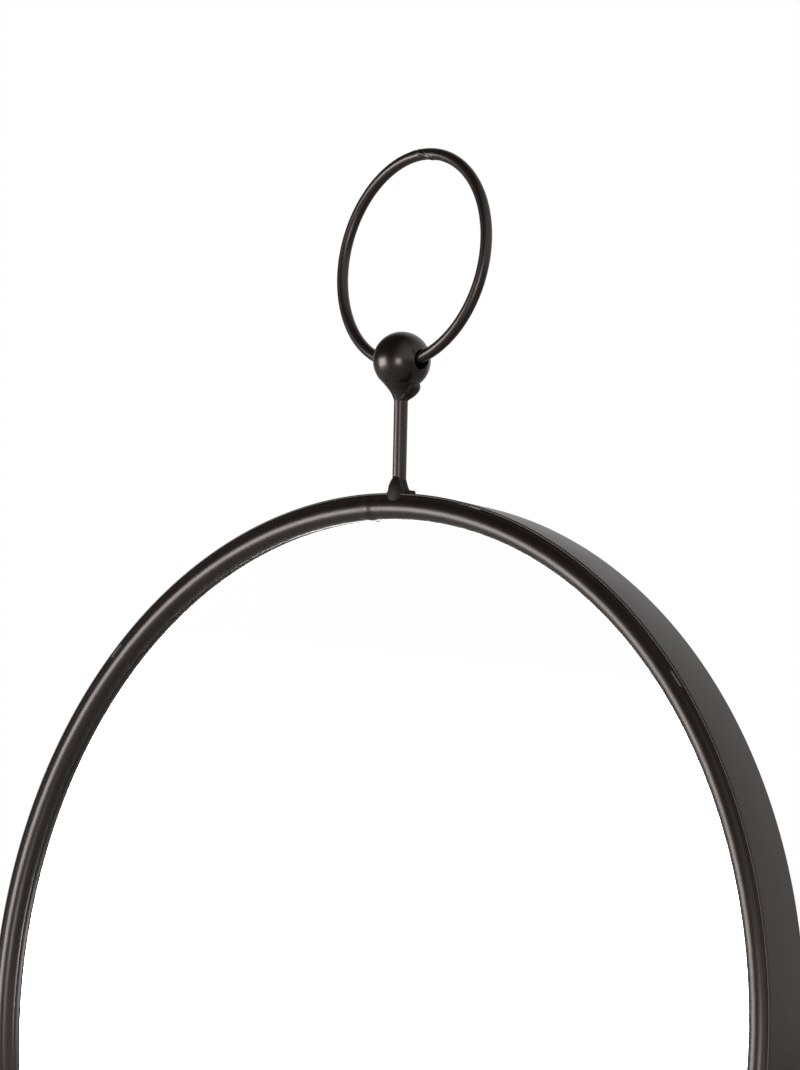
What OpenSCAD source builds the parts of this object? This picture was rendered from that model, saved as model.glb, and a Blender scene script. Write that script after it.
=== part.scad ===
// Round wall mirror in a steel frame, hung on a loose wire ring, with five coat hooks below it.
// Lengths are in millimetres. The front faces -Y, +Z is up, and X = 0 is the middle.
// The origin is where the nail carries the ring: the underside of the ring's top.

/* [Frame] */
// Outside width of the round frame, across its side band
frame_d = 450; // [380:5:600]
// Thickness of the round bar around the front
bar_d = 10; // [9:0.5:12]
// Depth of the side band, from its front edge to the wall
band_depth = 23; // [21:1:30]
// Sheet thickness of the side band
band_t = 1; // [0.8:0.1:1.6]

/* [Mirror] */
// Thickness of the mirror glass
glass_t = 3; // [2:0.5:3]
// Thickness of the backing board
board_t = 5; // [4:0.5:6]

/* [Hanger] */
// Height of the ball's centre above the side band
ball_rise = 57.3; // [50:0.1:70]
// Width of the ball
ball_d = 25; // [22:1:28]
// Width of the hole through the ball
ball_hole_d = 8; // [8:0.25:9]
// Thickness of the stem under the ball
stem_d = 6; // [5:0.5:8]
// How far the stem leans to the front, in degrees
stem_lean = 6.8; // [0:0.2:8]
// Outside width of the loose ring
ring_d = 96.4; // [88:0.4:112]
// Thickness of the ring's wire
wire_d = 5; // [4:0.5:5]
// How far the ring leans back towards the wall, in degrees
ring_lean = 0; // [0:1:8]
// How far the ring is turned in its loose hole, in degrees
ring_twist = 5; // [0:1:5]

/* [Hooks] */
// Angle between neighbouring hooks, seen from the middle of the mirror
hook_step = 22; // [18:1:26]
// Straight length of a hook below the band
hook_drop = 22; // [18:1:40]
// Radius of a hook's bend, to the middle of its rod
hook_bend = 12; // [11:1:16]
// Thickness of a hook's rod
hook_rod_d = 6; // [5:0.5:7]
// Width of the ball on a hook's tip
hook_tip_d = 12; // [10:0.5:13]

/* [Hidden] */
$fn = 96;
round_n = 720;

// Frame, seen from the middle of the mirror and the middle plane of the front bar
frame_r = frame_d / 2;
bar_r = bar_d / 2;
band_in = frame_r - band_t;
bar_gap = 0.2;
bar_c = band_in - bar_gap - bar_r;
band_y = -0.35 * bar_d;
wall_y = band_y + band_depth;
edge = 0.2;
paint_gap = 0.05;

// Mirror, pad and board
glass_gap = 0.1;
glass_y = 0.12 * bar_d;
glass_r = bar_c - sqrt(bar_r * bar_r - glass_y * glass_y) - glass_gap;
board_gap = 0.1;
board_y = bar_r + board_gap;
board_r = band_in - 0.5;
pad_y = glass_y + glass_t;
pad_t = board_y - pad_y;
pad_r = glass_r - 2;
tab_n = 8;
tab_t = 0.8;
tab_y = board_y + board_t + board_gap;
tab_h = 6.4;
tab_len = 12;
tab_w = 12.5;
tab_span = tab_w / band_in * 180 / PI;

// Hanger
stem_y = 0.24 * bar_d;
stem_r = stem_d / 2;
ball_r = ball_d / 2;
ball_y = stem_y - ball_rise * tan(stem_lean);
ball_z = frame_r + ball_rise;
stem_len = ball_rise / cos(stem_lean);
hole_r = ball_hole_d / 2;
wire_r = wire_d / 2;
ring_c = ring_d / 2 - wire_r;
mouth_x = sqrt(ball_r * ball_r - hole_r * hole_r);
wire_drop = (ring_c - sqrt(ring_c * ring_c - mouth_x * mouth_x)) / 2;
ring_mid = ring_c - wire_drop;
reach = ring_mid + ring_c - wire_r;
origin_y = ball_y + reach * sin(ring_lean);
origin_z = ball_z + reach * cos(ring_lean);

// Welds: angles run clockwise from the top, seen from the front
bar_joint_a = -2.5;
ring_joint_a = -8;
tacks = [47.3, 97, 142, -142, -97, -47.3];
tack_r = 1.4;
tack_pitch = 1.45;

// Hooks
hook_y = band_y + band_depth / 2;
hook_r = hook_rod_d / 2;
tip_r = hook_tip_d / 2;
hook_rise = 10;
hook_weld_r = hook_r + 3.5;

// ---------- placing ----------

// Moves a piece from the mirror's own middle to the origin at the nail
module placed() {
    translate([0, -origin_y, -origin_z]) children();
}

// A full turn about the mirror's axis: the profile's x is the radius and its y runs to the wall
module turned() {
    rotate([-90, 0, 0]) rotate_extrude($fn = round_n) children();
}

// The same over a few degrees only, in the middle of the top
module turned_part(span) {
    rotate([-90, 0, 0]) rotate([0, 0, -90 - span / 2])
        rotate_extrude(angle = span, $fn = round_n) children();
}

// Carries a piece clockwise round the frame from the top
module round_to(angle) {
    rotate([0, angle, 0]) children();
}

// A solid disc about the mirror's axis
module disc(r, y0, y1) {
    translate([0, y0, 0]) rotate([-90, 0, 0]) cylinder(r = r, h = y1 - y0, $fn = round_n);
}

// ---------- frame ----------

module bar_outline() {
    translate([bar_c, 0]) circle(r = bar_r);
}

module band_outline() {
    polygon([
        [band_in, band_y + edge], [band_in + edge, band_y],
        [frame_r - edge, band_y], [frame_r, band_y + edge],
        [frame_r, wall_y - edge], [frame_r - edge, wall_y],
        [band_in + edge, wall_y], [band_in, wall_y - edge]
    ]);
}

module filler_outline() {
    polygon([
        [bar_c + bar_r * 0.6, band_y - 0.2], [bar_c + bar_r * 0.84, band_y + 0.25],
        [band_in, band_y + 0.45], [band_in, -bar_r * 0.2], [bar_c + bar_r * 0.6, -bar_r * 0.2]
    ]);
}

module bar_solid() {
    turned() bar_outline();
}

module band_solid() {
    turned() band_outline();
}

module front_ring() {
    color([0.13, 0.11, 0.10]) placed() bar_solid();
}

module side_band() {
    color([0.16, 0.14, 0.13]) placed() band_solid();
}

// Filler in the groove between the bar and the band, left out where the bar's joint swells into it
module groove_filler() {
    color([0.14, 0.12, 0.11]) placed() difference() {
        turned() difference() {
            filler_outline();
            translate([bar_c, 0]) circle(r = bar_r + paint_gap);
        }
        round_to(bar_joint_a) translate([-8, band_y - bar_r, bar_c]) cube([14, 3 * bar_r, 2 * bar_r]);
    }
}

// The swelling where the bar's two ends were joined and ground, higher on its left side
module ring_butt_weld() {
    color([0.12, 0.10, 0.09]) placed() difference() {
        round_to(bar_joint_a) translate([0, 0, bar_c]) rotate([0, 90, 0]) rotate_extrude($fn = 192)
            polygon([
                [0, -7.6], [bar_r - 0.15, -7.6], [bar_r + 0.26, -5.1], [bar_r + 0.42, -3.7],
                [bar_r + 0.36, -2.2], [bar_r + 0.16, -0.6], [bar_r + 0.2, 1.6],
                [bar_r + 0.15, 3.2], [bar_r - 0.15, 5.6], [0, 5.6]
            ]);
        bar_solid();
        disc(frame_r, glass_y - 0.4, wall_y);
        band_solid();
    }
}

// Short low beads over the groove, from the bar to the band
module tack() {
    for (i = [-2.5 : 1 : 2.5]) {
        round_to(i * tack_pitch / band_in * 180 / PI)
            translate([0, band_y + 0.9, band_in - 0.5]) sphere(r = tack_r);
    }
}

module band_tack_welds() {
    color([0.12, 0.10, 0.09]) placed() difference() {
        for (a = tacks) round_to(a) tack();
        turned() {
            bar_outline();
            filler_outline();
            band_outline();
        }
    }
}

// The bead inside the band where its two ends meet, behind the board
module band_seam_weld() {
    color([0.12, 0.10, 0.09]) placed() difference() {
        round_to(180) translate([0, tab_y + 1.6, band_in])
            rotate([-90, 0, 0]) cylinder(r = 0.8, h = wall_y - tab_y - 2.2);
        band_solid();
    }
}

// ---------- mirror ----------

module mirror_glass() {
    color([0.85, 0.87, 0.88]) placed() disc(glass_r, glass_y, glass_y + glass_t);
}

module glass_pad() {
    color([0.80, 0.80, 0.78]) placed() disc(pad_r, pad_y, pad_y + pad_t);
}

module backing_board() {
    color([0.45, 0.33, 0.22]) placed() disc(board_r, board_y, board_y + board_t);
}

// Tabs welded inside the band and bent in over the board
module tab_profile() {
    polygon([
        [band_in, tab_y + tab_h], [band_in - tab_t, tab_y + tab_h],
        [band_in - tab_t, tab_y + tab_t + 0.6], [band_in - tab_t - 0.6, tab_y + tab_t],
        [band_in - tab_len, tab_y + tab_t], [band_in - tab_len, tab_y],
        [band_in - 1.2, tab_y], [band_in - 0.4, tab_y + 0.4], [band_in, tab_y + 1.2]
    ]);
}

module board_tabs() {
    color([0.18, 0.16, 0.15]) placed() {
        for (i = [0 : tab_n - 1]) round_to((i + 0.5) * 360 / tab_n) turned_part(tab_span) tab_profile();
    }
}

// A bead along each tab's end, between the tab and the band
module tab_welds() {
    color([0.12, 0.10, 0.09]) placed() difference() {
        for (i = [0 : tab_n - 1]) {
            round_to((i + 0.5) * 360 / tab_n) turned_part(tab_span * 0.6)
                translate([band_in - 0.2, tab_y + tab_h]) circle(r = 1);
        }
        for (i = [0 : tab_n - 1]) round_to((i + 0.5) * 360 / tab_n) turned_part(tab_span) tab_profile();
        band_solid();
    }
}

// ---------- hanger ----------

// From the ball's centre, with the stem running down from it
module at_ball() {
    translate([0, ball_y, ball_z]) rotate([stem_lean, 0, 0]) children();
}

// From the middle of the stem's foot, with the stem running up from it
module at_foot() {
    translate([0, stem_y, frame_r]) rotate([stem_lean, 0, 0]) children();
}

module stem_solid() {
    at_ball() translate([0, 0, -stem_len - 3]) cylinder(r = stem_r, h = stem_len + 3 - ball_r / 2);
}

module ball_at() {
    translate([0, ball_y, ball_z]) sphere(r = ball_r);
}

module hanger_stem() {
    color([0.13, 0.11, 0.10]) placed() difference() {
        stem_solid();
        ball_at();
        disc(frame_r, band_y - 4, wall_y + 4);
    }
}

// The ball is turned about its own hole, whose mouths have their sharp edges broken
module ball_profile() {
    difference() {
        circle(r = ball_r);
        translate([-ball_d, -ball_d]) square([ball_d + hole_r, 2 * ball_d]);
        for (side = [-1, 1]) polygon([
            [hole_r - 0.1, side * (mouth_x - 0.7)], [hole_r, side * (mouth_x - 0.7)],
            [hole_r + 2, side * (mouth_x + 1.3)], [hole_r - 0.1, side * (mouth_x + 1.3)]
        ]);
    }
}

module hanger_ball() {
    color([0.13, 0.11, 0.10]) placed()
        translate([0, ball_y, ball_z]) rotate([0, 90, 0]) rotate_extrude() ball_profile();
}

// A cone of weld under the ball, with a heavier rounded run on its right and back
module collar_profile() {
    difference() {
        polygon([
            [stem_r, -ball_r * 1.31], [stem_r, -ball_r * 0.7], [ball_r * 0.4, -ball_r * 0.7],
            [ball_r * 0.51, -ball_r * 0.83], [ball_r * 0.44, -ball_r * 0.96],
            [ball_r * 0.34, -ball_r * 1.14], [stem_r + 0.15, -ball_r * 1.31]
        ]);
        circle(r = ball_r);
    }
}

module ball_weld() {
    color([0.12, 0.10, 0.09]) placed() {
        at_ball() rotate_extrude() collar_profile();
        difference() {
            at_ball() {
                rotate([0, 0, 35]) translate([ball_r * 0.33, 0, -ball_r * 0.9]) sphere(r = ball_r * 0.31);
                rotate([0, 0, -20]) translate([ball_r * 0.31, 0, -ball_r * 0.95]) sphere(r = ball_r * 0.2);
                rotate([0, 0, 88]) translate([ball_r * 0.34, 0, -ball_r * 0.93]) sphere(r = ball_r * 0.26);
            }
            stem_solid();
            ball_at();
        }
    }
}

// The stem's foot: a flare on the band, a lobe down over the bar and a rippled run at the right
function lobe_at(t) = [2.6 * t * t, stem_y - 2.6 - 3 * t, frame_r + 6 - 8.1 * t];
function lobe_r(t) = 1.6 + 1.15 * sin(150 * t);

module foot_profile() {
    polygon([
        [0, -3], [stem_r + 4.2, -3], [stem_r + 4, 0.1], [stem_r + 3, 0.7], [stem_r + 2, 1.7],
        [stem_r + 1.1, 3.2], [stem_r + 0.5, 4.8], [stem_r + 0.15, 6.4], [0, 6.4]
    ]);
}

module stem_foot_weld() {
    color([0.12, 0.10, 0.09]) placed() difference() {
        union() {
            at_foot() rotate_extrude() foot_profile();
            for (t = [0 : 0.125 : 1]) translate(lobe_at(t)) sphere(r = lobe_r(t));
            at_foot() for (i = [0 : 5]) {
                rotate([0, 0, 22 * i - 60]) translate([stem_r + 3 + 0.25 * (i % 2), 0, 0.5]) sphere(r = 1);
            }
        }
        stem_solid();
        bar_solid();
        disc(frame_r, band_y, wall_y);
    }
}

module ring_place() {
    translate([0, ball_y, ball_z]) rotate([-ring_lean, 0, 0]) rotate([0, 0, -ring_twist])
        translate([0, 0, ring_mid]) children();
}

module ring_solid() {
    turned() translate([ring_c, 0]) circle(r = wire_r);
}

module hanger_ring() {
    color([0.13, 0.11, 0.10]) placed() ring_place() ring_solid();
}

// The swelling where the ring's wire was closed
module ring_joint_weld() {
    color([0.12, 0.10, 0.09]) placed() ring_place() difference() {
        round_to(ring_joint_a) translate([0, 0, ring_c]) sphere(r = wire_r + 0.35);
        ring_solid();
        round_to(ring_joint_a) translate([-5, -5, ring_c - 10]) cube([10, 10, 10 - wire_r - 0.1]);
    }
}

// ---------- hooks ----------

function hook_a(k) = (k - 3) * hook_step;
function hook_x(k) = frame_r * sin(hook_a(k));
function hook_z(k) = -frame_r * cos(hook_a(k)) - hook_drop;

module rod_solid(k) {
    translate([hook_x(k), hook_y, hook_z(k)]) cylinder(r = hook_r, h = hook_drop + 7);
}

module tip_at(k) {
    translate([hook_x(k), hook_y - 2 * hook_bend, hook_z(k) + hook_rise]) sphere(r = tip_r);
}

// A straight shank from the band, a half-round bend to the front and a short upright end
module hook(k) {
    color([0.13, 0.11, 0.10]) placed() difference() {
        union() {
            rod_solid(k);
            translate([hook_x(k), hook_y - hook_bend, hook_z(k)]) rotate([-90, 0, 90])
                rotate_extrude(angle = 180) translate([hook_bend, 0]) circle(r = hook_r);
            translate([hook_x(k), hook_y - 2 * hook_bend, hook_z(k)]) cylinder(r = hook_r, h = hook_rise);
        }
        disc(frame_r, band_y - 4, wall_y + 4);
        tip_at(k);
    }
}

module hook_tip(k) {
    color([0.13, 0.11, 0.10]) placed() tip_at(k);
}

module hook_1() { hook(1); }
module hook_2() { hook(2); }
module hook_3() { hook(3); }
module hook_4() { hook(4); }
module hook_5() { hook(5); }
module hook_tip_1() { hook_tip(1); }
module hook_tip_2() { hook_tip(2); }
module hook_tip_3() { hook_tip(3); }
module hook_tip_4() { hook_tip(4); }
module hook_tip_5() { hook_tip(5); }

// A domed bead where each hook's rod meets the band
module hook_welds() {
    color([0.12, 0.10, 0.09]) placed() difference() {
        for (k = [1 : 5]) {
            round_to(180 - hook_a(k)) translate([0, hook_y, frame_r - 3.6]) sphere(r = hook_weld_r);
        }
        disc(frame_r, band_y - 4, wall_y + 4);
        for (k = [1 : 5]) rod_solid(k);
    }
}

// ---------- assembly ----------

front_ring();
side_band();
groove_filler();
ring_butt_weld();
band_tack_welds();
band_seam_weld();
mirror_glass();
glass_pad();
backing_board();
board_tabs();
tab_welds();
hanger_stem();
hanger_ball();
ball_weld();
stem_foot_weld();
hook_1();
hook_2();
hook_3();
hook_4();
hook_5();
hook_tip_1();
hook_tip_2();
hook_tip_3();
hook_tip_4();
hook_tip_5();
hook_welds();
hanger_ring();
ring_joint_weld();
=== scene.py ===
import bmesh
import bpy
import math
from mathutils import Matrix, Vector


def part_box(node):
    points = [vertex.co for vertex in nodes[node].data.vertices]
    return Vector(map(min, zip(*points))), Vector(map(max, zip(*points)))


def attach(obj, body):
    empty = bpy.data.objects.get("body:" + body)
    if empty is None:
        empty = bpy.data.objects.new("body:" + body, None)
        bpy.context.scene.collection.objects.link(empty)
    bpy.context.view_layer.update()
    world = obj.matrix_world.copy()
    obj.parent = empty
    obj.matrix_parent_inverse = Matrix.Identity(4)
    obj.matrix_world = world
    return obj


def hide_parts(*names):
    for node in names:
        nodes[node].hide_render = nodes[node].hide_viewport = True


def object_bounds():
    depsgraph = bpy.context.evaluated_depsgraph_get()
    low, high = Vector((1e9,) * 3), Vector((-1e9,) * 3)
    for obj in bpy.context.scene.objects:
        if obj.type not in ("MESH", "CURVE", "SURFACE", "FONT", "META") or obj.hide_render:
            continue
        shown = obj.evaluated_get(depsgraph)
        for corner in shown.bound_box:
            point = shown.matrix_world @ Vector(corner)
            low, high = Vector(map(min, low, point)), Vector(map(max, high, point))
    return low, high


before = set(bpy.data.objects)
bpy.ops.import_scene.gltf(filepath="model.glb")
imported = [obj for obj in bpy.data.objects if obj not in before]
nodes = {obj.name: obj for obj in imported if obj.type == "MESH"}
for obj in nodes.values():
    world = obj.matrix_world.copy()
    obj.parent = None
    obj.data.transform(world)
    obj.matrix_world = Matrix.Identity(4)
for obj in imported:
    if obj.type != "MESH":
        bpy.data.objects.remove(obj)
cad_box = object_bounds()
scene = bpy.context.scene


# ---------- sizes, taken from the frame where it has them ----------

MM = 0.001
bar_lo, bar_hi = (Vector(c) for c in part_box("front_ring"))
ball_lo, ball_hi = (Vector(c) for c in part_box("hanger_ball"))
band_lo, band_hi = (Vector(c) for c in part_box("side_band"))
ball_mid = (ball_lo + ball_hi) / 2
middle = (bar_lo + bar_hi) / 2
middle.x = 0.0
bar_r = (bar_hi.y - bar_lo.y) / 2
bar_c = (bar_hi.z - bar_lo.z) / 2 - bar_r       # radius of the bar's centre line
frame_r = (band_hi.z - band_lo.z) / 2
band_front = band_lo.y - middle.y
band_back = band_hi.y - middle.y

BAND_T = 1.0 * MM
STEM_Y = 2.4 * MM                               # the stem's foot, behind the bar's middle
STEM_LEAN = math.radians(6.8)
BAR_JOINT = math.radians(-2.5)                  # the joints' angles run from the top to the right
TACK_ANGLES = (47.3, 97.0, 142.0, -142.0, -97.0, -47.3)
RING_R = 45.7 * MM                              # radius of the wire's centre line
WIRE_R = 2.5 * MM
RING_TURN = math.radians(-5)
RING_JOINT = math.radians(1.9)
HOOKS = range(1, 6)


# ---------- material helpers ----------

def new_material(name):
    """A material with one surface shader: the material, its node tree and the shader."""
    material = bpy.data.materials.new(name)
    material.use_nodes = True
    tree = material.node_tree
    tree.nodes.clear()
    output = tree.nodes.new("ShaderNodeOutputMaterial")
    surface = tree.nodes.new("ShaderNodeBsdfPrincipled")
    tree.links.new(surface.outputs[0], output.inputs[0])
    return material, tree, surface


def add(tree, kind, **values):
    """A new node. Each value sets the node's own setting of that name, or else its input."""
    node = tree.nodes.new("ShaderNode" + kind)
    for name, value in values.items():
        if hasattr(node, name):
            setattr(node, name, value)
        else:
            node.inputs[name.replace("_", " ")].default_value = value
    return node


def object_coords(tree, scale=(1, 1, 1)):
    """The object's own coordinates in metres, stretched by scale."""
    mapping = add(tree, "Mapping", Scale=scale)
    tree.links.new(add(tree, "TexCoord").outputs["Object"], mapping.inputs["Vector"])
    return mapping.outputs[0]


def noise(tree, where, scale, detail, rough=0.5):
    node = add(tree, "TexNoise", Scale=scale, Detail=detail, Roughness=rough)
    tree.links.new(where, node.inputs["Vector"])
    return node.outputs["Fac"]


def ramp(tree, share, stops):
    """A colour ramp through stops of (position, colour)."""
    node = add(tree, "ValToRGB")
    elements = node.color_ramp.elements
    while len(elements) < len(stops):
        elements.new(0.5)
    for element, (position, colour) in zip(elements, stops):
        element.position = position
        element.color = (*colour, 1)
    tree.links.new(share, node.inputs["Fac"])
    return node.outputs["Color"]


def map_range(tree, value, start, end, least, most, kind="LINEAR"):
    """Runs from least to most while the value runs from start to end."""
    node = add(tree, "MapRange", interpolation_type=kind,
               From_Min=start, From_Max=end, To_Min=least, To_Max=most)
    tree.links.new(value, node.inputs["Value"])
    return node.outputs[0]


def bump(tree, height, strength, distance, below=None):
    """The normal over a bumped surface; below is the normal that it starts from."""
    node = add(tree, "Bump", Strength=strength, Distance=distance)
    tree.links.new(height, node.inputs["Height"])
    if below is not None:
        tree.links.new(below, node.inputs["Normal"])
    return node.outputs[0]


def arithmetic(tree, operation, first, second, clamp=False):
    """A math node over two values, each a number or an output."""
    node = add(tree, "Math", operation=operation, use_clamp=clamp)
    for socket, value in zip(node.inputs, (first, second)):
        if isinstance(value, (int, float)):
            socket.default_value = value
        else:
            tree.links.new(value, socket)
    return node.outputs[0]


def choose(tree, share, on, off):
    """The value on where share is 1, off where it is 0, and a blend between."""
    kept = arithmetic(tree, "MULTIPLY", share, on)
    rest = arithmetic(tree, "SUBTRACT", 1.0, share)
    return arithmetic(tree, "ADD", kept, arithmetic(tree, "MULTIPLY", rest, off))


# ---------- materials ----------

COAT_DARK = (0.0058, 0.0036, 0.0028)
COAT_LIGHT = (0.0105, 0.0066, 0.0052)
COAT_TINT = (1.0, 0.90, 0.85, 1.0)
# painted shade: the darker base colour along the band's front edge
EDGE_SHADE_COLOUR = (0.011, 0.008, 0.007, 1.0)
DRY_ROUGH = 0.5
WELD_PEEL = {"waves": 0.1, "peel": 0.12, "peel_scale": 420.0}


def paint(name, dark, light, rough, gloss, peel=0.015, waves=0.05, peel_scale=900.0):
    """Near-black sprayed paint: cloudy colour, uneven gloss, slow waves and a fine orange peel."""
    material, tree, surface = new_material(name)
    where = object_coords(tree)
    cloud = noise(tree, where, scale=38.0, detail=4.0, rough=0.6)
    tree.links.new(ramp(tree, cloud, [(0.3, dark), (0.75, light)]), surface.inputs["Base Color"])
    patch = noise(tree, where, scale=90.0, detail=3.0, rough=0.55)
    tree.links.new(map_range(tree, patch, 0.0, 1.0, *rough), surface.inputs["Roughness"])
    slow = bump(tree, noise(tree, where, scale=42.0, detail=2.0, rough=0.4), waves, 1.2 * MM)
    fine = bump(tree, noise(tree, where, scale=peel_scale, detail=2.0, rough=0.5), peel, 0.12 * MM, slow)
    tree.links.new(fine, surface.inputs["Normal"])
    surface.inputs["Specular IOR Level"].default_value = gloss
    surface.inputs["Specular Tint"].default_value = COAT_TINT
    return material


def dull_and_shade_edge(material, front, depth):
    """Over this depth behind the band's front edge: dry paint, rougher and without gloss, and a darker base
    colour that is painted shade.
    """
    tree = material.node_tree
    surface = next(n for n in tree.nodes if n.type == "BSDF_PRINCIPLED")
    parts = add(tree, "SeparateXYZ")
    tree.links.new(object_coords(tree), parts.inputs[0])
    near = map_range(tree, parts.outputs["Y"], front + 0.5 * depth, front + depth, 1.0, 0.0, "SMOOTHSTEP")
    # the roughness gets dry, glossless paint; the base colour gets painted shade
    for name, kind, dull_and_shade in (("Roughness", "FLOAT", DRY_ROUGH), ("Base Color", "RGBA", EDGE_SHADE_COLOUR)):
        mix = add(tree, "Mix", data_type=kind)
        sprayed, dull_and_shaded = [i for i in mix.inputs if i.enabled and i.name in ("A", "B")]
        tree.links.new(near, mix.inputs["Factor"])
        tree.links.new(surface.inputs[name].links[0].from_socket, sprayed)
        dull_and_shaded.default_value = dull_and_shade
        tree.links.new(next(o for o in mix.outputs if o.enabled), surface.inputs[name])


def mirror_material():
    """Clear silvered mirror, sharp, with the faintest green in its colour."""
    material, tree, surface = new_material("mirror_silver")
    cloud = noise(tree, object_coords(tree), scale=3.0, detail=2.0)
    tree.links.new(ramp(tree, cloud, [(0.3, (0.975, 0.985, 0.98)), (0.8, (0.99, 0.995, 0.992))]),
                   surface.inputs["Base Color"])
    surface.inputs["Metallic"].default_value = 1.0
    surface.inputs["Roughness"].default_value = 0.0
    return material


def pad_material():
    """Pale grey foam with a fine grain."""
    material, tree, surface = new_material("pad_foam")
    grain = noise(tree, object_coords(tree), scale=400.0, detail=2.0)
    tree.links.new(ramp(tree, grain, [(0.3, (0.52, 0.52, 0.50)), (0.7, (0.66, 0.66, 0.64))]),
                   surface.inputs["Base Color"])
    surface.inputs["Roughness"].default_value = 0.9
    return material


def board_material():
    """Fibre board: short pale and dark fibres pressed flat, with a slight sheen from the press."""
    material, tree, surface = new_material("fibre_board")
    across = noise(tree, object_coords(tree, (1.0, 1.0, 3.2)), scale=320.0, detail=5.0, rough=0.7)
    upright = noise(tree, object_coords(tree, (3.0, 1.0, 1.0)), scale=300.0, detail=5.0, rough=0.7)
    fibres = arithmetic(tree, "MULTIPLY", across, upright)
    browns = [(0.14, (0.10, 0.062, 0.034)), (0.24, (0.20, 0.13, 0.075)), (0.38, (0.33, 0.23, 0.14))]
    tree.links.new(ramp(tree, fibres, browns), surface.inputs["Base Color"])
    tree.links.new(map_range(tree, across, 0.0, 1.0, 0.55, 0.8), surface.inputs["Roughness"])
    tree.links.new(bump(tree, fibres, 0.35, 0.3 * MM), surface.inputs["Normal"])
    return material


def give(material, *names):
    """Puts the material on the named nodes of the frame."""
    for name in names:
        node = nodes[name]
        if not node.material_slots:
            node.data.materials.append(material)
        for slot in node.material_slots:
            slot.material = material


frame_paint = paint("frame_paint", COAT_DARK, COAT_LIGHT, rough=(0.31, 0.39), gloss=0.5)
ball_paint = paint("ball_paint", (0.0042, 0.0026, 0.0021), (0.0074, 0.0046, 0.0037),
                   rough=(0.23, 0.30), gloss=0.55)
band_paint = paint("band_paint", (0.0105, 0.0076, 0.0066), (0.0185, 0.0138, 0.0122),
                   rough=(0.31, 0.39), gloss=0.5, peel=0.02)
ring_paint = paint("ring_paint", COAT_DARK, COAT_LIGHT, rough=(0.28, 0.35), gloss=0.5)
weld_paint = paint("weld_paint", (0.0044, 0.0030, 0.0024), (0.0080, 0.0055, 0.0045),
                   rough=(0.40, 0.50), gloss=0.45, **WELD_PEEL)
foot_paint = paint("foot_paint", (0.0056, 0.0039, 0.0031), (0.0102, 0.0072, 0.0058),
                   rough=(0.56, 0.66), gloss=0.25, **WELD_PEEL)
# the darker colour at the band's front edge is painted shade; the rougher paint there is real
dull_and_shade_edge(band_paint, front=band_lo.y, depth=1.3 * MM)

give(ball_paint, "hanger_ball")
give(frame_paint, "front_ring", "hanger_stem",
     *["hook_%d" % k for k in HOOKS], *["hook_tip_%d" % k for k in HOOKS])
give(band_paint, "board_tabs")
give(weld_paint, "band_seam_weld", "tab_welds", "hook_welds")
give(ring_paint, "hanger_ring")
give(mirror_material(), "mirror_glass")
give(pad_material(), "glass_pad")
give(board_material(), "backing_board")


# ---------- helpers for the pieces ----------

def link(name, data):
    """A new object in the scene."""
    new = bpy.data.objects.new(name, data)
    scene.collection.objects.link(new)
    return new


def place(name, mesh, material, node, body="frame", sharp=40):
    """Hangs a mesh in the scene in place of a node, on the node's body and in its paint."""
    mesh.set_sharp_from_angle(angle=math.radians(sharp))
    mesh.polygons.foreach_set("use_smooth", [True] * len(mesh.polygons))
    mesh.materials.clear()
    mesh.materials.append(material)
    piece = link(name, mesh)
    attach(piece, body)
    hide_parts(node)


def steps(first, last, count):
    """Evenly spaced values, both ends among them."""
    return [first + (last - first) * k / (count - 1) for k in range(count)]


def full_turn(count):
    """Angles evenly round a circle."""
    return [2 * math.pi * k / count for k in range(count)]


def chain(stations, count):
    """Rows of values that run evenly through the stations, from the first to the last, count in all."""
    rows = []
    for k in range(count):
        along = k * (len(stations) - 1) / (count - 1)
        left = min(int(along), len(stations) - 2)
        share = along - left
        rows.append([u + (v - u) * share for u, v in zip(stations[left], stations[left + 1])])
    return rows


def hump(s, height, peak, width, width_after=None):
    """A smooth hump along a length s; its width after the peak can be another one."""
    if width_after is not None and s >= peak:
        width = width_after
    return height * math.exp(-((s - peak) / width) ** 2)


def around(radius, y, angle):
    """The point at this radius from the mirror's axis, y behind the bar's middle, angle right of the top."""
    return middle + Vector((radius * math.sin(angle), y, radius * math.cos(angle)))


def grid_mesh(name, rows, closed):
    """A skin over equal rows of points, each row a loop; closed joins the last row to the first."""
    bm = bmesh.new()
    loops = [[bm.verts.new(p) for p in row] for row in rows]
    following = loops[1:] + loops[:1] if closed else loops[1:]
    for one, other in zip(loops, following):
        for i in range(len(one)):
            j = (i + 1) % len(one)
            bm.faces.new((one[i], one[j], other[j], other[i]))
    if not closed:
        bm.faces.new(loops[0])
        bm.faces.new(loops[-1])
    bmesh.ops.recalc_face_normals(bm, faces=bm.faces)
    mesh = bpy.data.meshes.new(name)
    bm.to_mesh(mesh)
    bm.free()
    return mesh


def ring_mesh(name, profile, count=720):
    """A profile of (radius, y) turned round the mirror's axis."""
    rows = [[around(r, y, angle) for r, y in profile] for angle in full_turn(count)]
    return grid_mesh(name, rows, closed=True)


def sleeve_mesh(name, lengths, count, point):
    """A closed sleeve: point(s, phi) at each length s along it and each of count angles phi round it."""
    rows = [[point(s, phi) for phi in full_turn(count)] for s in lengths]
    return grid_mesh(name, rows, closed=False)


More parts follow.
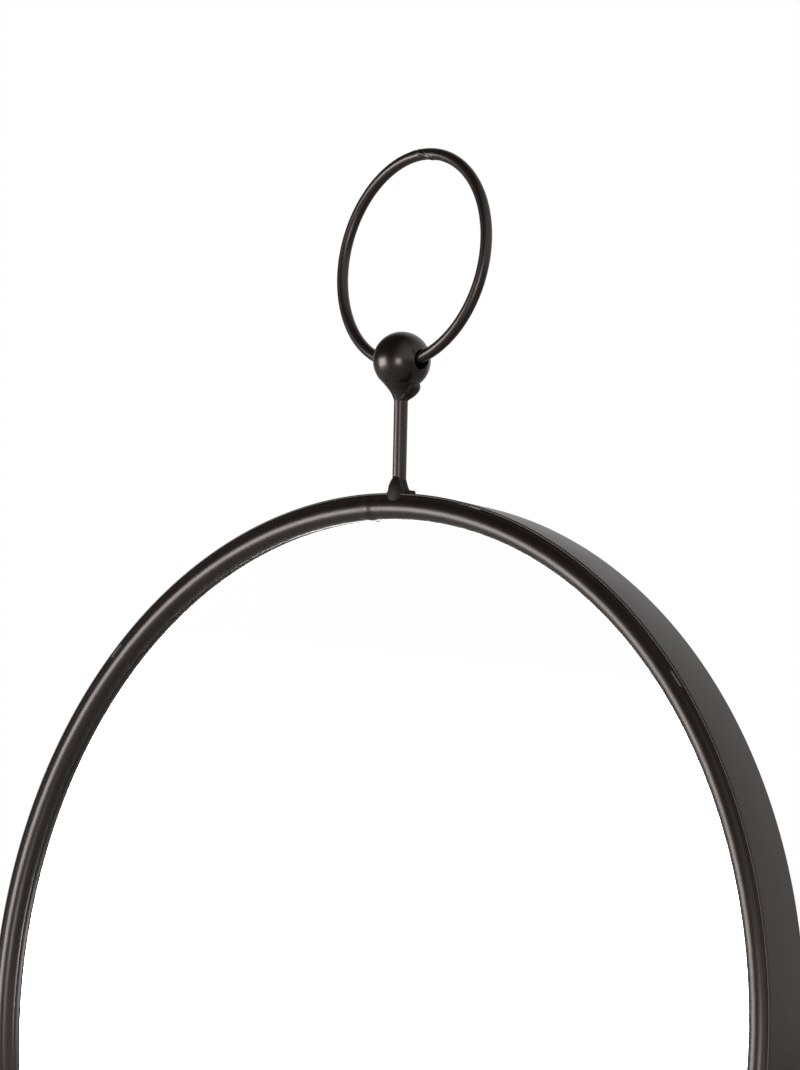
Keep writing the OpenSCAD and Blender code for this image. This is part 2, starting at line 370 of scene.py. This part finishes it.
def melted(name, drops, stand=None, profile=(), voxel=0.25 * MM, flow=5):
    """Weld metal run into one skin: drops (centre, radius) and a profile (radius, height) on its stand."""
    bm = bmesh.new()
    for centre, radius in drops:
        bmesh.ops.create_icosphere(bm, subdivisions=3, radius=radius, matrix=Matrix.Translation(centre))
    for (r0, z0), (r1, z1) in zip(profile, profile[1:]):
        bmesh.ops.create_cone(bm, cap_ends=True, segments=48, radius1=r0, radius2=r1, depth=z1 - z0,
                              matrix=stand @ Matrix.Translation((0, 0, (z0 + z1) / 2)))
    mesh = bpy.data.meshes.new(name)
    bm.to_mesh(mesh)
    bm.free()
    raw = link(name, mesh)
    melt = raw.modifiers.new("melt", "REMESH")
    melt.mode = "VOXEL"
    melt.voxel_size = voxel
    smooth = raw.modifiers.new("flow", "SMOOTH")
    smooth.factor = 0.5
    smooth.iterations = flow
    skin = bpy.data.meshes.new_from_object(raw.evaluated_get(bpy.context.evaluated_depsgraph_get()))
    bpy.data.objects.remove(raw)
    return skin


def stem_stand(at):
    """A frame of reference that leans with the stem."""
    return Matrix.Translation(at) @ Matrix.Rotation(STEM_LEAN, 4, "X")


def on_stand(stand, out, turn, up):
    """The point out and up from the stand's axis in millimetres, turned in degrees."""
    angle = math.radians(turn)
    return stand @ (Vector((out * math.cos(angle), out * math.sin(angle), up)) * MM)


def turned(stations, count):
    """A profile in metres through stations of (radius, height) in millimetres."""
    return [(r * MM, z * MM) for r, z in chain(stations, count)]


# ---------- pieces that follow the handwork more closely than the solids do ----------

def band_mesh():
    """The flat band, its front edge rounded over the full thickness and its rear edge just broken."""
    half, broken = BAND_T / 2, 0.2 * MM
    mid_r = frame_r - half
    front = [(mid_r - half * math.cos(a), band_front + half - half * math.sin(a))
             for a in steps(0.0, math.pi, 9)]
    rear = [(frame_r, band_back - broken), (frame_r - broken, band_back),
            (frame_r - BAND_T + broken, band_back), (frame_r - BAND_T, band_back - broken)]
    return ring_mesh("band_shell", front + rear)


def filler_mesh():
    """The filler in the groove: it lies on the bar and leaves a narrow dark line open at the band."""
    open_line, skin = 0.3 * MM, 0.03 * MM
    inner_sunk, outer_sunk = 0.25 * MM, 0.42 * MM
    lip_r = bar_c + 4.2 * MM
    edge_r = frame_r - BAND_T - open_line
    on_bar_r = bar_r + skin
    high = math.acos((edge_r - bar_c) / on_bar_r)
    low = math.asin(-band_front / on_bar_r)
    on_bar = [(bar_c + on_bar_r * math.cos(a), -on_bar_r * math.sin(a)) for a in steps(high, low, 6)]
    face = [(lip_r, band_front + inner_sunk), (edge_r, band_front + outer_sunk)]
    return ring_mesh("groove_line", on_bar + face)


def swell_mesh():
    """The ground joint in the bar: a soft hump, steep on its right, with a lesser one after it."""
    sunk = 0.035
    heavy_side = 0.9                            # between the outside and the front

    def point(s, phi):
        high = hump(s, height=0.6, peak=-2.2, width=3.8, width_after=2.2)
        low = hump(s, height=0.18, peak=5.6, width=1.6)
        share = 0.72 + 0.28 * math.cos(phi - heavy_side) + 0.03 * math.sin(5 * phi + 0.7 * s)
        r = bar_r + (high + low - sunk) * share * MM
        return around(bar_c + r * math.cos(phi), -r * math.sin(phi), BAR_JOINT + s * MM / bar_c)

    return sleeve_mesh("joint_swell", steps(-12.0, 11.0, 61), count=72, point=point)


def ball_weld_mesh():
    """A cone of weld under the ball with a heavier run on its right and a drip at the front."""
    stand = stem_stand(ball_mid)
    cone = ((3.05, -17.4), (3.4, -16.2), (4.1, -14.6), (5.1, -13.0),
            (6.3, -11.5), (7.3, -10.35), (7.95, -9.7), (7.3, -9.0))
    run = ((4.5, -11.1, 3.8), (3.9, -12.6, 3.3), (3.2, -14.2, 2.4), (2.6, -15.4, 1.7))
    run_turns = ((14, 0.5), (30, 0.1), (46, 0.0), (62, 0.1), (78, 0.5), (94, 0.9))
    drip = ((3.6, -12, -12.8, 1.2), (3.5, -24, -14.4, 1.0), (3.2, -34, -16.2, 0.8))
    drops = []
    for turn, less in run_turns:
        for out, up, r in chain(run, 12):
            drops.append((on_stand(stand, out - 0.4 * less, turn, up + 0.5 * less), (r - 0.5 * less) * MM))
    for out, turn, up, r in chain(drip, 9):
        drops.append((on_stand(stand, out, turn, up), r * MM))
    return melted("ball_weld_skin", drops, stand, turned(cone, 36))


def foot_weld_mesh():
    """The flare round the stem's foot, the tongue down over the band onto the bar, and the ripples."""
    band_top = Vector((0, 0, frame_r))
    stand = stem_stand(middle + Vector((0, STEM_Y, frame_r)))
    flare = ((5.7, -0.8), (5.7, 0.3), (5.3, 0.9), (4.7, 1.8), (4.0, 3.3), (3.5, 4.9), (3.1, 6.6))
    # each station of the tongue: how far to the right, half its width, y, height over the band, radius
    tongue = ((0.0, 0.2, -0.2, 7.2, 1.3), (0.3, 0.5, -0.6, 6.0, 1.7), (0.8, 0.8, -1.1, 4.6, 2.1),
              (1.4, 1.1, -1.6, 3.2, 2.4), (2.0, 1.4, -1.9, 1.8, 2.6), (2.4, 1.6, -2.0, 0.4, 2.7),
              (2.6, 1.5, -1.9, -1.4, 2.7), (2.7, 1.1, -1.5, -3.2, 2.7))
    ripples, first_turn, next_turn, ripple_r = 9, -62, 17, 0.95
    drops = []
    for side, half, y, up, r in chain(tongue, 36):
        for k in steps(-1, 1, 5):
            centre = middle + Vector((side + k * half, y, up)) * MM + band_top
            drops.append((centre, (r - 0.15 * k * k) * MM))
    for i in range(ripples):
        centre = on_stand(stand, 6.0 + 0.3 * (i % 2), first_turn + next_turn * i, ripple_r)
        drops.append((centre, (ripple_r + 0.2 * (i % 3 == 1)) * MM))
    return melted("foot_weld_skin", drops, stand, turned(flare, 30))


def tack_mesh():
    """Low beads that fill the groove between the bar and the band for a few millimetres."""
    radius, y = frame_r - 1.75 * MM, band_front + 0.75 * MM
    half_length, fade = 4.2, 4.6
    end_r, swell, ripple = 0.62, 0.42, 0.05
    drops = []
    for angle in TACK_ANGLES:
        for k, s in enumerate(steps(-half_length, half_length, 22)):
            r = end_r + swell * math.sqrt(1 - (s / fade) ** 2) + ripple * math.sin(2.1 * k + angle)
            drops.append((around(radius, y, math.radians(angle) + s * MM / frame_r), r * MM))
    return melted("tack_skin", drops, voxel=0.2 * MM, flow=4)


def ring_joint_mesh():
    """The closed joint in the wire ring, on the slant: its left end stands up and a bead follows it."""
    flat = Vector((math.cos(RING_TURN), math.sin(RING_TURN), 0))
    side = Vector((-flat.y, flat.x, 0))
    centre = Vector((0, 0, -(RING_R - WIRE_R)))
    slant, sunk, steepness = 6.0, 0.03, 4

    def point(s, phi):
        u = s + slant * math.cos(phi)
        flatter = 1 - 0.8 * max(0.0, math.cos(phi))
        step = hump(u, height=0.38, peak=0.0, width=3.2) / (1 + math.exp(steepness * u)) * flatter
        bead = hump(u, height=0.14, peak=2.0, width=0.9)
        r = WIRE_R + (step + bead - sunk) * MM
        angle = RING_JOINT + s * MM / RING_R
        out = flat * math.sin(angle) + Vector((0, 0, math.cos(angle)))
        return centre + out * (RING_R + r * math.cos(phi)) - side * (r * math.sin(phi))

    return sleeve_mesh("ring_joint_skin", steps(-12.0, 12.0, 97), count=48, point=point)


place("band_shell", band_mesh(), band_paint, "side_band")
place("groove_line", filler_mesh(), frame_paint, "groove_filler", sharp=60)
place("joint_swell", swell_mesh(), frame_paint, "ring_butt_weld")
place("ball_weld_skin", ball_weld_mesh(), weld_paint, "ball_weld", sharp=80)
place("foot_weld_skin", foot_weld_mesh(), foot_paint, "stem_foot_weld", sharp=80)
place("tack_skin", tack_mesh(), weld_paint, "band_tack_welds", sharp=80)
place("ring_joint_skin", ring_joint_mesh(), ring_paint, "ring_joint_weld", body="ring", sharp=60)


# ---------- floor and surroundings ----------

FLOOR_SIZE = 60
FLOOR_DROP = 0.25
WHITE = (1, 1, 1, 1)


def seen_plainly(tree, path, most_steps):
    """1 for camera rays, for what the mirror shows at once and for rays through glass, otherwise 0.

    The renderer counts a ray that leaves for the world one step higher than one that meets the floor.
    """
    sharp = arithmetic(tree, "MULTIPLY", path.outputs["Is Glossy Ray"], path.outputs["Is Singular Ray"])
    early = arithmetic(tree, "LESS_THAN", path.outputs["Ray Depth"], most_steps + 0.5)
    at_once = arithmetic(tree, "MULTIPLY", sharp, early)
    direct = arithmetic(tree, "ADD", path.outputs["Is Camera Ray"], at_once, clamp=True)
    return arithmetic(tree, "ADD", direct, path.outputs["Is Transmission Ray"], clamp=True)


def floor_material():
    """A pale sweep that takes light and shadow near the object and fades to the white backdrop far out."""
    near, far, near_white = 0.8, 3.0, 0.55
    material, tree, surface = new_material("floor_pale")
    surface.inputs["Base Color"].default_value = (0.55, 0.55, 0.54, 1)
    surface.inputs["Roughness"].default_value = 0.9
    away = add(tree, "VectorMath", operation="LENGTH")
    tree.links.new(add(tree, "NewGeometry").outputs["Position"], away.inputs[0])
    fade = map_range(tree, away.outputs["Value"], start=near, end=far, least=near_white, most=1.0)
    plain = seen_plainly(tree, add(tree, "LightPath"), most_steps=1)
    mix = add(tree, "MixShader")
    tree.links.new(arithmetic(tree, "MULTIPLY", plain, fade), mix.inputs[0])
    tree.links.new(surface.outputs[0], mix.inputs[1])
    tree.links.new(add(tree, "Emission", Color=WHITE).outputs[0], mix.inputs[2])
    output = next(n for n in tree.nodes if n.type == "OUTPUT_MATERIAL")
    tree.links.new(mix.outputs[0], output.inputs[0])
    return material


def studio_world():
    """White where it is seen plainly, and soft for diffuse light.

    Rough gloss meets a studio: a pale backdrop behind the object, a window side at its right and a dim
    room in front.
    """
    diffuse = 0.5
    world = bpy.data.worlds.new("studio")
    world.use_nodes = True
    tree = world.node_tree
    tree.nodes.clear()
    parts = add(tree, "SeparateXYZ")
    tree.links.new(add(tree, "TexCoord").outputs["Generated"], parts.inputs[0])
    backdrop = map_range(tree, parts.outputs["Y"], start=0.0, end=0.7, least=0.03, most=0.85,
                         kind="SMOOTHSTEP")
    window = map_range(tree, parts.outputs["X"], start=-0.1, end=0.95, least=0.0, most=1.1,
                       kind="SMOOTHSTEP")
    room = arithmetic(tree, "MAXIMUM", backdrop, window)
    path = add(tree, "LightPath")
    soft = choose(tree, path.outputs["Is Glossy Ray"], room, diffuse)
    light = choose(tree, seen_plainly(tree, path, most_steps=2), 1.0, soft)
    background = add(tree, "Background", Color=WHITE)
    tree.links.new(light, background.inputs["Strength"])
    tree.links.new(background.outputs[0], add(tree, "OutputWorld").inputs[0])
    return world


bpy.ops.mesh.primitive_plane_add(size=FLOOR_SIZE, location=(0, 0, cad_box[0][2] - FLOOR_DROP))
floor = bpy.context.object
floor.name = "floor"
floor.data.materials.append(floor_material())
scene.world = studio_world()


# ---------- camera, as fitted to the photograph ----------

WIDTH_PX, HEIGHT_PX = 800.0, 1070.0
FOCAL_PX = 3014.7
AXIS_PX = (405.3, 599.3)                        # where the camera's axis meets the picture
CAMERA_AT = Vector((0.888975, -0.927442, -0.293769))
YAW, PITCH, ROLL = (math.radians(v) for v in (43.25, 4.60, 5.92))
SENSOR = 36.0


def camera_axes(yaw, pitch, roll):
    """The picture's right, its up and the way the camera looks."""
    ahead = Vector((-math.sin(yaw) * math.cos(pitch), math.cos(yaw) * math.cos(pitch), math.sin(pitch)))
    right = Vector((math.cos(yaw), math.sin(yaw), 0.0))
    up = right.cross(ahead)
    return (math.cos(roll) * right + math.sin(roll) * up,
            -math.sin(roll) * right + math.cos(roll) * up, ahead)


right, up, ahead = camera_axes(YAW, PITCH, ROLL)
camera = link("camera", bpy.data.cameras.new("camera"))
camera.matrix_world = Matrix.Translation(CAMERA_AT) @ Matrix((right, up, -ahead)).transposed().to_4x4()
lens = camera.data
lens.sensor_fit = "VERTICAL"
lens.sensor_height = SENSOR
lens.lens = FOCAL_PX * SENSOR / HEIGHT_PX
lens.shift_x = (WIDTH_PX / 2 - AXIS_PX[0]) / HEIGHT_PX
lens.shift_y = (AXIS_PX[1] - HEIGHT_PX / 2) / HEIGHT_PX
lens.clip_start = 0.05
lens.clip_end = 50.0
scene.camera = camera


# ---------- lights ----------

LIT_SPOT = Vector((0, 0, -0.2))


def panel(name, direction, distance, size, power):
    """A soft rectangular light that stands in this direction from the object and shines on it."""
    light = link(name, bpy.data.lights.new(name, "AREA"))
    light.data.shape = "RECTANGLE"
    light.data.size, light.data.size_y = size
    light.data.energy = power
    outward = direction.normalized()
    light.location = LIT_SPOT + outward * distance
    light.rotation_euler = (-outward).to_track_quat("-Z", "Y").to_euler()


panel("key", -0.98 * right - 0.16 * up - 0.10 * ahead, distance=2.2, size=(1.35, 1.5), power=68)
panel("fill", -0.24 * right - 0.06 * up - 0.96 * ahead, distance=2.4, size=(0.7, 0.7), power=20)

scene.view_settings.view_transform = "Standard"
